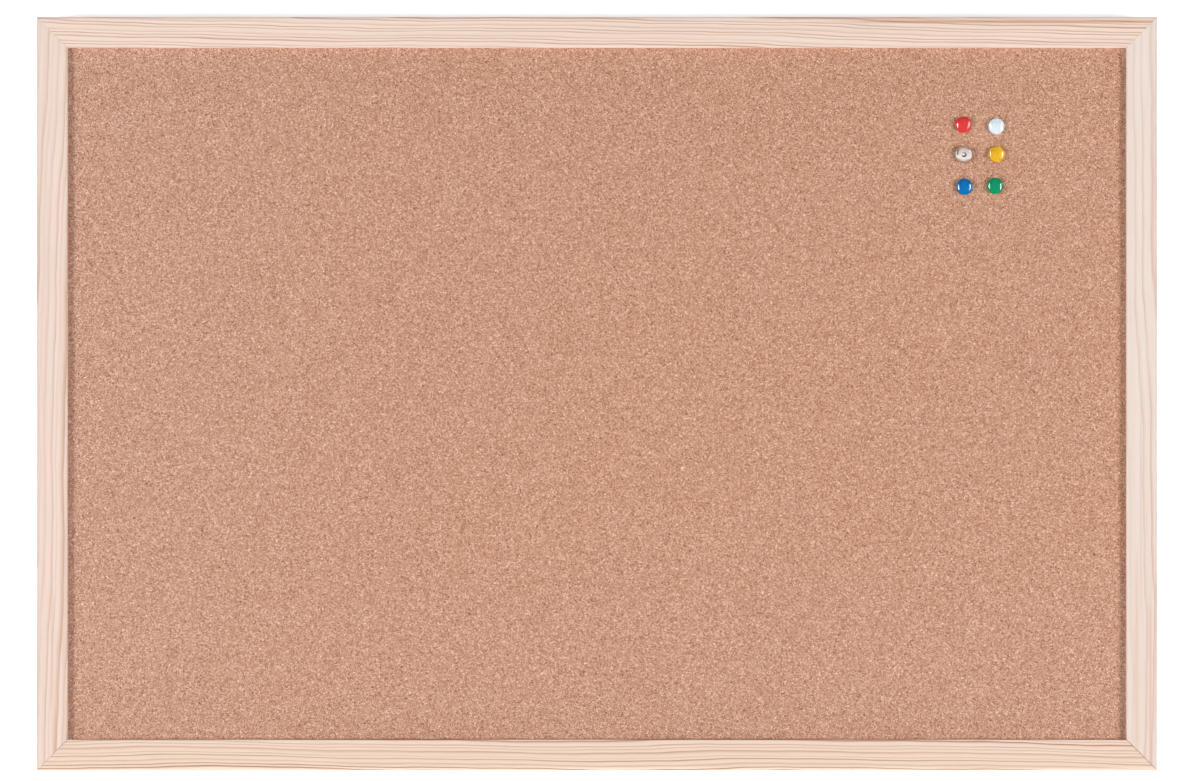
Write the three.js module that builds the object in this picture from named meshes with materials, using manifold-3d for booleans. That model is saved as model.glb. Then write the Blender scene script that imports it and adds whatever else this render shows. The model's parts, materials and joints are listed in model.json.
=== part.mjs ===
// A framed cork pin board: four mitred pine rails hold a layered panel in a groove, V-nails lock
// the mitres, sawtooth hangers carry the board on the wall, and drawing pins stand in the cork.
// Millimetres. +X is right seen from the front, +Z is up, and the front faces -Y.
// The origin lies midway between the two hangers, on the line where their teeth rest on the wall
// nails, in the plane of the rails' back faces.
import * as THREE from "three";
import { mergeVertices } from "three/addons/utils/BufferGeometryUtils.js";
import Module from "manifold-3d";

const wasm = await Module();
wasm.setup();

// Board and frame
const BOARD_WIDTH = 580;
const BOARD_HEIGHT = 390;
const FRAME_DEPTH = 17;
const RAIL_WIDTH = 16;
const LIP_DEPTH = 3;
const GROOVE_REACH = 6;
const OUTER_ARRIS = 2;
const INNER_ARRIS = 0.6;
const BACK_EASE = 0.6;
const MITRE_GAP = 0.3;
const MITRE_ANGLE = Math.PI / 4;

// Panel layers, front to back
const CORK_THICKNESS = 3;
const CORE_THICKNESS = 5;
const BACKING_THICKNESS = 1.6;
const GLUE_LINE = 0.1;
const PANEL_CLEARANCE = 0.2;

// V-nails across the mitres
const V_NAIL_LEG = 4.2;
const V_NAIL_HALF_ANGLE = THREE.MathUtils.degToRad(55);
const V_NAIL_THICKNESS = 0.6;
const V_NAIL_HEIGHT = 9;
const V_NAIL_SPACING = 4.5;
const V_NAIL_SINK = 0.4;
const V_NAIL_FIT = 0.2;
const V_NAILS_PER_CORNER = 2;

// Sawtooth hangers on the top rail's back
const HANGER_INSET = 90;
const HANGER_TO_GROOVE = 3;
const HANGER_LENGTH = 45;
const HANGER_HEIGHT = 10;
const HANGER_THICKNESS = 0.9;
const HANGER_RISE = 1.8;
const HANGER_TAB = 9;
const HANGER_JOGGLE = 2.4;
const HANGER_SEAT_GAP = 0.2;
const TOOTH_PITCH = 3;
const TOOTH_DEPTH = 1.6;
const TOOTH_TIP = 0.4;
const TOOTH_MARGIN = 1;

// Hanger nails
const NAIL_DIAMETER = 1.5;
const NAIL_LENGTH = 11;
const NAIL_POINT = 1.6;
const NAIL_HEAD_DIAMETER = 3.4;
const NAIL_HEAD_THICKNESS = 0.8;
const NAIL_FIT = 0.2;
const NAIL_TIP_CLEARANCE = 0.4;

// Drawing pins
const PIN_HEAD_DIAMETER = 8.4;
const PLATED_HEAD_DIAMETER = 9;
const PIN_HEAD_HEIGHT = 2.8;
const PIN_RIM_HEIGHT = 0.9;
const PIN_RIM_BEVEL = 0.35;
// Exponents of the heads' superellipses: 2 is an ellipse, and a higher one has a flatter top
const PIN_CROWN = 2;
const PLATED_CROWN = 3;
const DIMPLE_DIAMETER = 2.8;
const DIMPLE_FLOOR_DIAMETER = 1;
const DIMPLE_DEPTH = 0.55;
const TACK_DISC_DIAMETER = 6.8;
const TACK_DISC_THICKNESS = 0.6;
const TACK_DIAMETER = 1.1;
const TACK_LENGTH = 7;
const TACK_TIP = 1.8;
const TACK_FIT = 0.2;
const TACK_TIP_CLEARANCE = 0.4;
const PIN_SEAT_GAP = 0.2;

// How far a cut runs past the face that it opens
const CUT_OVERRUN = 0.5;

// Facets of the round forms
const ARRIS_SEGMENTS = 5;
const HEAD_SEGMENTS = 28;
const DOME_STEPS = 7;
const DIMPLE_STEPS = 5;
const SHANK_SEGMENTS = 12;

// Places worked out from the sizes above
const web = RAIL_WIDTH - GROOVE_REACH;
const panelWidth = BOARD_WIDTH - 2 * (web + PANEL_CLEARANCE);
const panelHeight = BOARD_HEIGHT - 2 * (web + PANEL_CLEARANCE);
const panelThickness = CORK_THICKNESS + CORE_THICKNESS + BACKING_THICKNESS + 2 * GLUE_LINE;
const grooveFront = -FRAME_DEPTH + LIP_DEPTH;
const grooveWidth = panelThickness + 2 * PANEL_CLEARANCE;
const corkFace = grooveFront + PANEL_CLEARANCE;
const hangerX = BOARD_WIDTH / 2 - HANGER_INSET;
const hangerSetback = web - HANGER_TO_GROOVE;
const hangerZ = BOARD_HEIGHT / 2 - hangerSetback;
const hangingLine = hangerZ - HANGER_HEIGHT / 2 + TOOTH_DEPTH;

// Finishes
const finish = (color, roughness, metalness) =>
  new THREE.MeshStandardMaterial({ color, roughness, metalness });
const pine = finish("#ecd3c2", 0.6, 0);
const cork = finish("#cd9d84", 0.95, 0);
const fibreboard = finish("#b09272", 0.95, 0);
const hardboard = finish("#8a6243", 0.7, 0);
const zincSteel = finish("#b9bcc0", 0.35, 1);
const brightSteel = finish("#c8cacc", 0.25, 1);
const nickel = finish("#d8d4cf", 0.12, 1);
const plastic = (color) => finish(color, 0.25, 0);

// The pins, placed from the board's right and top edges to the middle of each head
const PINS = [
  { name: "red", fromRight: 100.2, fromTop: 55.7, cap: plastic("#dd4a4a") },
  { name: "white", fromRight: 83.2, fromTop: 56.5, cap: plastic("#e4ecf0") },
  { name: "silver", fromRight: 100.1, fromTop: 71.2, cap: nickel, plated: true },
  { name: "yellow", fromRight: 83, fromTop: 70.9, cap: plastic("#f1bb44") },
  { name: "blue", fromRight: 99.6, fromTop: 87.8, cap: plastic("#0d77b9") },
  { name: "green", fromRight: 83.8, fromTop: 87.4, cap: plastic("#099568") },
];

// A closed geometry as a solid that can be joined and cut.
function solidOf(geometry) {
  const bare = geometry.clone();
  bare.deleteAttribute("normal");
  bare.deleteAttribute("uv");
  const merged = mergeVertices(bare);
  return new wasm.Manifold(
    new wasm.Mesh({
      numProp: 3,
      vertProperties: merged.attributes.position.array,
      triVerts: new Uint32Array(merged.index.array),
    }),
  );
}

// A solid back as a geometry with flat-shaded faces.
function geometryOf(solid) {
  const mesh = solid.getMesh();
  const indexed = new THREE.BufferGeometry();
  indexed.setAttribute("position", new THREE.BufferAttribute(mesh.vertProperties, mesh.numProp));
  indexed.setIndex(new THREE.BufferAttribute(mesh.triVerts, 1));
  const geometry = indexed.toNonIndexed();
  geometry.computeVertexNormals();
  return geometry;
}

// A body with every cutter taken out of it.
function cut(geometry, cutters) {
  const solid = cutters.reduce((left, cutter) => left.subtract(solidOf(cutter)), solidOf(geometry));
  return geometryOf(solid);
}

// A prism whose outline is drawn in the board's plane, running forward from the plane y = 0.
function prism(shape, depth) {
  const geometry = new THREE.ExtrudeGeometry(shape, { depth, bevelEnabled: false });
  return geometry.rotateX(Math.PI / 2);
}

// A round body about the Y axis from [radius, y] pairs that start and end on the axis.
function turned(profile, segments) {
  const points = profile.map(([radius, y]) => new THREE.Vector2(radius, y));
  return new THREE.LatheGeometry(points, segments);
}

function addPart(parent, name, geometry, material) {
  const mesh = new THREE.Mesh(geometry, material);
  mesh.name = name;
  parent.add(mesh);
  return mesh;
}

// The moulding's section: x runs inward from the outer edge, y runs back from the front face.
function railSection() {
  const innerArris = Math.min(INNER_ARRIS, LIP_DEPTH);
  const grooveBack = LIP_DEPTH + grooveWidth;
  const section = new THREE.Shape();
  section.moveTo(OUTER_ARRIS, 0);
  section.lineTo(RAIL_WIDTH - innerArris, 0);
  section.absarc(RAIL_WIDTH - innerArris, innerArris, innerArris, -Math.PI / 2, 0, false);
  section.lineTo(RAIL_WIDTH, LIP_DEPTH);
  section.lineTo(web, LIP_DEPTH);
  section.lineTo(web, grooveBack);
  section.lineTo(RAIL_WIDTH, grooveBack);
  section.lineTo(RAIL_WIDTH, FRAME_DEPTH - BACK_EASE);
  section.lineTo(RAIL_WIDTH - BACK_EASE, FRAME_DEPTH);
  section.lineTo(BACK_EASE, FRAME_DEPTH);
  section.lineTo(0, FRAME_DEPTH - BACK_EASE);
  section.lineTo(0, OUTER_ARRIS);
  section.absarc(OUTER_ARRIS, OUTER_ARRIS, OUTER_ARRIS, Math.PI, 1.5 * Math.PI, false);
  return section;
}

// A length of moulding along X with its outer edge in the plane z = 0, mitred at both ends.
function mitredRail(length) {
  const bar = new THREE.ExtrudeGeometry(railSection(), {
    depth: 1,
    bevelEnabled: false,
    curveSegments: ARRIS_SEGMENTS,
  });
  const position = bar.attributes.position;
  for (let i = 0; i < position.count; i += 1) {
    const inward = position.getX(i);
    const back = position.getY(i);
    const end = 2 * position.getZ(i) - 1;
    const reach = length / 2 - inward - MITRE_GAP / Math.SQRT2;
    position.setXYZ(i, end * reach, back - FRAME_DEPTH, -inward);
  }
  return bar;
}

// A V-nail seen from the back: its point on the mitre and a leg into each rail.
function vNailShape(fit) {
  const half = V_NAIL_THICKNESS / 2 + fit;
  const leg = V_NAIL_LEG + fit;
  const along = Math.cos(V_NAIL_HALF_ANGLE);
  const across = Math.sin(V_NAIL_HALF_ANGLE);
  const tip = half / across;
  const outerEnd = [leg * along - half * across, leg * across + half * along];
  const innerEnd = [leg * along + half * across, leg * across - half * along];
  const shape = new THREE.Shape();
  shape.moveTo(-tip, 0);
  shape.lineTo(outerEnd[0], -outerEnd[1]);
  shape.lineTo(innerEnd[0], -innerEnd[1]);
  shape.lineTo(tip, 0);
  shape.lineTo(innerEnd[0], innerEnd[1]);
  shape.lineTo(outerEnd[0], outerEnd[1]);
  return shape;
}

// How far along the mitre, from the outer corner, the point of each V-nail lies.
function vNailPlaces() {
  const run = (V_NAILS_PER_CORNER - 1) * V_NAIL_SPACING + V_NAIL_LEG * Math.cos(V_NAIL_HALF_ANGLE);
  const first = (web * Math.SQRT2 - run) / 2;
  return Array.from({ length: V_NAILS_PER_CORNER }, (_, i) => first + i * V_NAIL_SPACING);
}

// Moves a body from the origin to its place on the mitre at a rail's end, pointing out of the corner.
// The end is 1 for the rail's +X end and -1 for its -X end.
function onMitre(body, length, end, place) {
  body.translate(place, 0, 0);
  body.rotateY(end > 0 ? Math.PI - MITRE_ANGLE : MITRE_ANGLE);
  return body.translate((end * length) / 2, 0, 0);
}

function vNail(length, place) {
  const body = prism(vNailShape(0), V_NAIL_HEIGHT).translate(0, -V_NAIL_SINK, 0);
  return onMitre(body, length, 1, place);
}

function vNailSlot(length, end, place) {
  const depth = V_NAIL_SINK + V_NAIL_HEIGHT + V_NAIL_FIT;
  const body = prism(vNailShape(V_NAIL_FIT), depth + CUT_OVERRUN).translate(0, CUT_OVERRUN, 0);
  return onMitre(body, length, end, place);
}

function vNailSlots(length) {
  return [-1, 1].flatMap((end) => vNailPlaces().map((place) => vNailSlot(length, end, place)));
}

// Hanger nails point forward, with the origin where the shank meets the rail's back face.
function hangerNail() {
  const radius = NAIL_DIAMETER / 2;
  const headFront = 2 * HANGER_SEAT_GAP + HANGER_THICKNESS;
  const headRadius = NAIL_HEAD_DIAMETER / 2;
  return turned(
    [
      [0, -NAIL_LENGTH],
      [radius, -NAIL_LENGTH + NAIL_POINT],
      [radius, headFront],
      [headRadius, headFront],
      [headRadius, headFront + NAIL_HEAD_THICKNESS],
      [0, headFront + NAIL_HEAD_THICKNESS],
    ],
    SHANK_SEGMENTS,
  );
}

function nailBore(from, to) {
  const radius = NAIL_DIAMETER / 2 + NAIL_FIT;
  return turned(
    [
      [0, from],
      [radius, from],
      [radius, to],
      [0, to],
    ],
    SHANK_SEGMENTS,
  );
}

const nailOffset = (HANGER_LENGTH - HANGER_TAB) / 2;

// The pilot holes of all hanger nails, in the top rail's own place.
function pilotHoles() {
  return [-1, 1].flatMap((side) =>
    [-1, 1].map((end) =>
      nailBore(-NAIL_LENGTH - NAIL_TIP_CLEARANCE, CUT_OVERRUN).translate(
        side * hangerX + end * nailOffset,
        0,
        -hangerSetback,
      ),
    ),
  );
}

// A strip with two flat tabs and a raised middle, toothed along its lower edge.
function sawtoothHanger() {
  const end = HANGER_LENGTH / 2;
  const foot = end - HANGER_TAB;
  const top = foot - HANGER_JOGGLE;
  const low = HANGER_SEAT_GAP;
  const high = HANGER_SEAT_GAP + HANGER_RISE;
  const strip = new THREE.Shape();
  strip.moveTo(-end, low);
  strip.lineTo(-foot, low);
  strip.lineTo(-top, high);
  strip.lineTo(top, high);
  strip.lineTo(foot, low);
  strip.lineTo(end, low);
  strip.lineTo(end, low + HANGER_THICKNESS);
  strip.lineTo(foot, low + HANGER_THICKNESS);
  strip.lineTo(top, high + HANGER_THICKNESS);
  strip.lineTo(-top, high + HANGER_THICKNESS);
  strip.lineTo(-foot, low + HANGER_THICKNESS);
  strip.lineTo(-end, low + HANGER_THICKNESS);
  const body = new THREE.ExtrudeGeometry(strip, { depth: HANGER_HEIGHT, bevelEnabled: false });
  body.translate(0, 0, -HANGER_HEIGHT / 2);
  const holes = [-1, 1].map((side) =>
    nailBore(low - CUT_OVERRUN, low + HANGER_THICKNESS + CUT_OVERRUN).translate(side * nailOffset, 0, 0),
  );
  return cut(body, [...holes, ...toothNotches(top, high)]);
}

// The V notches between the teeth, spread evenly over the raised middle.
function toothNotches(halfSpan, front) {
  const count = Math.floor((2 * halfSpan - 2 * TOOTH_MARGIN) / TOOTH_PITCH);
  const halfMouth = (TOOTH_PITCH - TOOTH_TIP) / 2;
  const notch = new THREE.Shape();
  notch.moveTo(-halfMouth, -CUT_OVERRUN);
  notch.lineTo(halfMouth, -CUT_OVERRUN);
  notch.lineTo(halfMouth, 0);
  notch.lineTo(0, TOOTH_DEPTH);
  notch.lineTo(-halfMouth, 0);
  const depth = HANGER_THICKNESS + 2 * CUT_OVERRUN;
  const back = front + HANGER_THICKNESS + CUT_OVERRUN;
  return Array.from({ length: count }, (_, i) =>
    prism(notch, depth).translate((i - (count - 1) / 2) * TOOTH_PITCH, back, -HANGER_HEIGHT / 2),
  );
}

// A pin head over its tack, with the origin on the axis at the underside of the rim.
function pinCap(diameter, plated) {
  const radius = diameter / 2;
  const dome = PIN_HEAD_HEIGHT - PIN_RIM_HEIGHT;
  const crown = plated ? PLATED_CROWN : PIN_CROWN;
  const rise = (r) => (1 - (r / radius) ** crown) ** (1 / crown);
  const dimple = DIMPLE_DIAMETER / 2;
  const sunk = (r) => 1 - THREE.MathUtils.smoothstep(r, DIMPLE_FLOOR_DIAMETER / 2, dimple);
  const start = plated ? Math.atan2(dimple / radius, rise(dimple)) : 0;
  const profile = [];
  if (plated) {
    for (let i = 0; i < DIMPLE_STEPS; i += 1) {
      const r = (dimple * i) / DIMPLE_STEPS;
      profile.push([r, -PIN_RIM_HEIGHT - dome * rise(r) + DIMPLE_DEPTH * sunk(r)]);
    }
  }
  for (let i = 0; i <= DOME_STEPS; i += 1) {
    const angle = start + ((Math.PI / 2 - start) * i) / DOME_STEPS;
    const out = Math.sin(angle);
    const up = Math.cos(angle);
    const reach = (out ** crown + up ** crown) ** (-1 / crown);
    profile.push([radius * out * reach, -PIN_RIM_HEIGHT - dome * up * reach]);
  }
  const pocket = TACK_DISC_DIAMETER / 2 + TACK_FIT;
  const ceiling = -TACK_DISC_THICKNESS - TACK_FIT;
  profile.push([radius, -PIN_RIM_BEVEL]);
  profile.push([radius - PIN_RIM_BEVEL, 0]);
  profile.push([pocket, 0]);
  profile.push([pocket, ceiling]);
  profile.push([0, ceiling]);
  return turned(profile, HEAD_SEGMENTS);
}

function pinTack() {
  const disc = TACK_DISC_DIAMETER / 2;
  const radius = TACK_DIAMETER / 2;
  return turned(
    [
      [0, -TACK_DISC_THICKNESS],
      [disc, -TACK_DISC_THICKNESS],
      [disc, 0],
      [radius, 0],
      [radius, TACK_LENGTH - TACK_TIP],
      [0, TACK_LENGTH],
    ],
    SHANK_SEGMENTS,
  );
}

function pinPlace(pin) {
  const x = BOARD_WIDTH / 2 - pin.fromRight;
  const z = BOARD_HEIGHT / 2 - pin.fromTop;
  return new THREE.Vector3(x, corkFace - PIN_SEAT_GAP, z);
}

// The hole that a pin's point makes, in the board's frame.
function pinBore(pin) {
  const radius = TACK_DIAMETER / 2 + TACK_FIT;
  const place = pinPlace(pin);
  const bore = turned(
    [
      [0, 0],
      [radius, 0],
      [radius, TACK_LENGTH + TACK_TIP_CLEARANCE],
      [0, TACK_LENGTH + TACK_TIP_CLEARANCE],
    ],
    SHANK_SEGMENTS,
  );
  return bore.translate(place.x, place.y, place.z);
}

// One layer of the panel, from its front face back, with the pin holes that reach it.
function panelLayer(front, thickness) {
  const sheet = new THREE.BoxGeometry(panelWidth, thickness, panelHeight);
  sheet.translate(0, front + thickness / 2, 0);
  return cut(sheet, PINS.map(pinBore));
}

// Each side of the frame: its turn about Y, and the corner at its +X end before turning.
const SIDES = [
  { name: "top_rail", length: BOARD_WIDTH, offset: BOARD_HEIGHT / 2, turn: 0, corner: "top_right" },
  {
    name: "right_stile",
    length: BOARD_HEIGHT,
    offset: BOARD_WIDTH / 2,
    turn: Math.PI / 2,
    corner: "bottom_right",
  },
  {
    name: "bottom_rail",
    length: BOARD_WIDTH,
    offset: BOARD_HEIGHT / 2,
    turn: Math.PI,
    corner: "bottom_left",
  },
  {
    name: "left_stile",
    length: BOARD_HEIGHT,
    offset: BOARD_WIDTH / 2,
    turn: -Math.PI / 2,
    corner: "top_left",
  },
];

function addFrame(board) {
  for (const side of SIDES) {
    const group = new THREE.Group();
    group.rotation.y = side.turn;
    board.add(group);
    const holes = side.name === "top_rail" ? pilotHoles() : [];
    const rail = cut(mitredRail(side.length), [...vNailSlots(side.length), ...holes]);
    addPart(group, side.name, rail, pine).position.z = side.offset;
    vNailPlaces().forEach((place, i) => {
      const name = `v_nail_${side.corner}_${i + 1}`;
      addPart(group, name, vNail(side.length, place), zincSteel).position.z = side.offset;
    });
  }
}

function addPanel(board) {
  const coreFront = corkFace + CORK_THICKNESS + GLUE_LINE;
  const backingFront = coreFront + CORE_THICKNESS + GLUE_LINE;
  addPart(board, "cork_sheet", panelLayer(corkFace, CORK_THICKNESS), cork);
  addPart(board, "core_board", panelLayer(coreFront, CORE_THICKNESS), fibreboard);
  addPart(board, "backing_sheet", panelLayer(backingFront, BACKING_THICKNESS), hardboard);
}

function addHangers(board) {
  for (const side of [-1, 1]) {
    const group = new THREE.Group();
    group.position.set(side * hangerX, 0, hangerZ);
    board.add(group);
    const name = side < 0 ? "left_hanger" : "right_hanger";
    addPart(group, name, sawtoothHanger(), zincSteel);
    [-1, 1].forEach((end, i) => {
      addPart(group, `${name}_nail_${i + 1}`, hangerNail(), brightSteel).position.x = end * nailOffset;
    });
  }
}

function addPins(board) {
  for (const pin of PINS) {
    const group = new THREE.Group();
    group.position.copy(pinPlace(pin));
    board.add(group);
    const diameter = pin.plated ? PLATED_HEAD_DIAMETER : PIN_HEAD_DIAMETER;
    addPart(group, `${pin.name}_pin_cap`, pinCap(diameter, pin.plated), pin.cap);
    addPart(group, `${pin.name}_pin_tack`, pinTack(), brightSteel);
  }
}

const pinBoard = new THREE.Group();
const board = new THREE.Group();
board.position.z = -hangingLine;
pinBoard.add(board);
addFrame(board);
addPanel(board);
addHangers(board);
addPins(board);

export default pinBoard;
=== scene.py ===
"""Finished looks of a framed cork pin board: pine rails, granular cork, drawing pins, fittings at the back.

Blender works in metres with +Z up and the board's front facing -Y. Sizes here are in millimetres, in the node
textures too, and those of the studio around the board are in metres.
"""

import json
import math
from dataclasses import dataclass

import bmesh
import bpy
import numpy as np
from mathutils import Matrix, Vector


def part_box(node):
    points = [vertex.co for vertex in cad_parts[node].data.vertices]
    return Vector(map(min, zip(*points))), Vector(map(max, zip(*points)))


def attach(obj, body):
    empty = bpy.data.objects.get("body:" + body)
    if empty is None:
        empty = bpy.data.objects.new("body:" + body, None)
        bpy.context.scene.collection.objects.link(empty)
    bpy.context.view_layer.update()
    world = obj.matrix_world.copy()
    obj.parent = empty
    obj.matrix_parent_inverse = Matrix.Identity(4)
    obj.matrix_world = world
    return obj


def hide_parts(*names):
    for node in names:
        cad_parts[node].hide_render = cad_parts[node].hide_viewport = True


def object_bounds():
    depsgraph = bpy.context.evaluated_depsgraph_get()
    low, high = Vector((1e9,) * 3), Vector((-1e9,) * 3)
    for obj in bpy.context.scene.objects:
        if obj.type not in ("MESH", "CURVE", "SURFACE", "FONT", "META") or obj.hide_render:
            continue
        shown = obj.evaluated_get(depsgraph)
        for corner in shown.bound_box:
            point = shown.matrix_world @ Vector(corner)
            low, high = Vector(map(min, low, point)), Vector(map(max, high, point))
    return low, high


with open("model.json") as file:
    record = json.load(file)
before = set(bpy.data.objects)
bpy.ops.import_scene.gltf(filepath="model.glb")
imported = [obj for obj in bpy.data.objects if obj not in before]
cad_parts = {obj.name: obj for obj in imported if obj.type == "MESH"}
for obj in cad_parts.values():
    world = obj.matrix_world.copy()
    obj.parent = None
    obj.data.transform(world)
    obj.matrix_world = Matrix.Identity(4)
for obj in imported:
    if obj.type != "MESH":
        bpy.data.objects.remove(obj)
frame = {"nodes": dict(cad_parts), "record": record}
cad_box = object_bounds()

MM = 0.001
X, Y, Z = range(3)

# Moulding
OUTER_ARRIS = 2.0
INNER_ARRIS = 0.6
LIP_EASE = 0.25
BACK_EASE = 0.6
PANEL_CLEARANCE = 0.2
ARRIS_STEPS = 8
SECTION_PITCH = 0.45
STATION_PITCH = 3.6
GRAIN_RELIEF = 0.03
RELIEF_FADE_START = 0.5

# Mitres: how far each stands open at its outer and at its inner end
TOP_LEFT_GAP = (0.04, 0.08)
TOP_RIGHT_GAP = (0.05, 0.05)
LOW_LEFT_GAP = (0.04, 0.16)
LOW_RIGHT_GAP = (0.18, 0.2)

# V-nails, as the slots in the rails' backs need them
V_NAIL_LEG = 4.2
V_NAIL_HALF_ANGLE = math.radians(55)
V_NAIL_THICKNESS = 0.6
V_NAIL_SPACING = 4.5
V_NAILS_PER_CORNER = 2
V_NAIL_DEPTH = 9.6
V_NAIL_EDGE_EASE = 0.12
SLOT_FIT = 0.06
CUT_OVERRUN = 0.5

# Panel
CORK_PITCH = 1.46
CORK_JITTER = 0.42
CORK_UNEVEN = 0.04
CORK_PITS = 0.02
CORK_PIT_DEPTH = 0.22
CORK_SEED = 11
BACKING_EDGE_EASE = 0.2

# Drawing pins
PIN_COLOURS = ("red", "white", "silver", "yellow", "blue", "green")
HEAD_HEIGHT = 2.8
RIM_HEIGHT = 0.9
RIM_BEVEL = 0.35
RIM_STEPS = 4
HEAD_CROWN = 2
PLATED_CROWN = 3
DIMPLE_DIAMETER = 2.8
DIMPLE_FLOOR_DIAMETER = 1.0
DIMPLE_DEPTH = 0.55
POCKET_ROUND = 0.1
DISC_THICKNESS = 0.6
DISC_EASE = 0.15
TACK_DIAMETER = 1.1
TACK_TIP = 1.8
TACK_SHOULDER = 0.5
TACK_FIT = 0.2
TACK_FILLET = 0.3
DOME_STEPS = 40
HEAD_SEGMENTS = 96
SHANK_SEGMENTS = 48
SHANK_STEPS = 5

# Sawtooth hangers
HANGER_TAB = 9.0
HANGER_JOGGLE = 2.4
HANGER_THICKNESS = 0.9
HANGER_BEND = 0.6
HANGER_CORNER = 1.2
HANGER_EDGE_EASE = 0.1
TOOTH_PITCH = 3.0
TOOTH_DEPTH = 1.6
TOOTH_TIP = 0.4
TOOTH_ROUND = 0.12
TOOTH_MARGIN = 1.0
BEND_STEPS = 6

# Hanger nails
NAIL_DIAMETER = 1.5
NAIL_POINT = 1.6
NAIL_SHOULDER = 0.4
NAIL_FILLET = 0.15
NAIL_HEAD_THICKNESS = 0.8
NAIL_HEAD_EASE = 0.35
NAIL_HEAD_LOWER_EASE = 0.1
NAIL_FIT = 0.2

# Edges: shaded smooth below the first two angles, and eased above the third
SMOOTH_ANGLE = math.radians(32)
CORK_SMOOTH_ANGLE = math.radians(75)
EASED_ANGLE = math.radians(40)
EASED_SEGMENTS = 2

# Photograph: its size in pixels, the board's outline in it and the distance that it was taken from
PHOTO_WIDTH = 1200
PHOTO_HEIGHT = 781
OUTLINE_LEFT, OUTLINE_RIGHT = 36.9, 1157.0
OUTLINE_TOP, OUTLINE_BOTTOM = 16.9, 770.5
CAMERA_DISTANCE = 2000.0
SENSOR_WIDTH = 36.0

# Lamps, in metres and watts: width and height, a strip's angle and power, a long fill's rise and power
AMBIENT = 0.16
LAMP_DISTANCE = 3.0
SOFTBOX_ANGLE = math.radians(52)
SOFTBOX_DROP = 0.3
SOFTBOX_SIZE = (0.9, 0.6)
SOFTBOX_POWER = 60.2
STRIP_SIZE = (0.8, 2.3)
STRIPS = {"left": (math.radians(-52), 680.0), "right": (math.radians(54), 430.0)}
REAR_FILL_PLACE = Vector((0, 2.4, 0.5))
REAR_FILL_SIZE = (2.0, 1.6)
REAR_FILL_POWER = 42.0
LONG_FILL_SIZE = (1.6, 0.5)
LONG_FILLS = {"top_fill": (2.0, 12.0), "low_fill": (-1.0, 6.0)}

# Wall and floor, in metres
STAGE_REACH = 4.0
WALL_TOP = 2.6
WALL_WHITE = 0.9
WALL_GLOW = 0.5
FLOOR_DROP = 0.9
FLOOR_TONES = ((0.42, 0.42, 0.41, 1), (0.46, 0.46, 0.45, 1))
FLOOR_GLOW = 0.55

# Cards that only mirrors see: y and z of each one's two long edges in metres, and its colour
CARDS = {
    "front_card": ((-3.4, 0.24), (-3.4, 1.6), (0.82, 0.78, 0.76)),
    "upper_card": ((-2.8, 1.3), (-1.3, 1.3), (0.62, 0.5, 0.44)),
    "overhead_card": ((-1.3, 1.3), (-0.05, 1.3), (0.46, 0.3, 0.22)),
    "lower_card": ((-1.2, -1.1), (-0.05, -1.1), (0.5, 0.35, 0.27)),
    "near_card": ((-3.2, -1.1), (-1.2, -1.1), (0.8, 0.68, 0.63)),
}
CARD_HALF_WIDTH = 2.0
DARK_CARD_DISTANCE = 1.5
DARK_CARD_ANGLES = (math.radians(-24), math.radians(-46))
DARK_CARD_LOW, DARK_CARD_HIGH = 0.05, 1.0
DARK_CARD_COLOUR = (0.02, 0.02, 0.02)


def box_mm(node):
    """A node's lowest and highest corners in millimetres."""
    return [[round(c / MM, 4) for c in corner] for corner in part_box(node)]


def width_of(node):
    low, high = box_mm(node)
    return high[X] - low[X]


def axis_of(node):
    """The middle of a round node in x and z, with its front and back depths."""
    low, high = box_mm(node)
    return (low[X] + high[X]) / 2, (low[Z] + high[Z]) / 2, low[Y], high[Y]


# Places of the frame and the panel
LEFT, RIGHT = box_mm("left_stile")[0][X], box_mm("right_stile")[1][X]
BOTTOM, TOP = box_mm("bottom_rail")[0][Z], box_mm("top_rail")[1][Z]
FRONT, BACK = box_mm("top_rail")[0][Y], box_mm("top_rail")[1][Y]
RAIL_WIDTH = TOP - box_mm("top_rail")[0][Z]
PANEL_LOW, PANEL_HIGH = box_mm("cork_sheet")
CORK_FACE, CORK_BACK = PANEL_LOW[Y], PANEL_HIGH[Y]
GROOVE_FRONT = CORK_FACE - PANEL_CLEARANCE - FRONT
GROOVE_BACK = box_mm("backing_sheet")[1][Y] + PANEL_CLEARANCE - FRONT
WEB = PANEL_LOW[X] - PANEL_CLEARANCE - LEFT
MIDDLE_X, MIDDLE_Z = (LEFT + RIGHT) / 2, (BOTTOM + TOP) / 2
HALF_WIDTH, HALF_HEIGHT = (RIGHT - LEFT) / 2, (TOP - BOTTOM) / 2

BODY_OF = {node: body for body, nodes in frame["record"]["behaviour"]["bodies"].items() for node in nodes}
HANGER_NAILS = sorted(node for node in BODY_OF if "_hanger_nail_" in node)


def srgb(red, green, blue):
    """A colour given by its 0 to 255 display values, as Blender's linear RGBA."""

    def linear(value):
        share = value / 255
        return share / 12.92 if share <= 0.04045 else ((share + 0.055) / 1.055) ** 2.4

    return (linear(red), linear(green), linear(blue), 1.0)


# Grain of the rails
@dataclass
class Grain:
    """Year rings of one rail as they run over it, and its colours.

    Waves of the rings: height, length along the rail, start, and turn per millimetre inward.
    Streaks of resinous wood: middle inward and along, half length, half width and strength.
    Lean: the share by which the lines are stronger, and the wood darker, at the right or upper end.
    """

    spacing: float
    slope: float
    tilt: float
    seed: float
    waves: tuple
    streaks: tuple
    softness: float
    contrast: float
    lean: float
    early: tuple
    early_other: tuple
    late: tuple
    line: tuple


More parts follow.
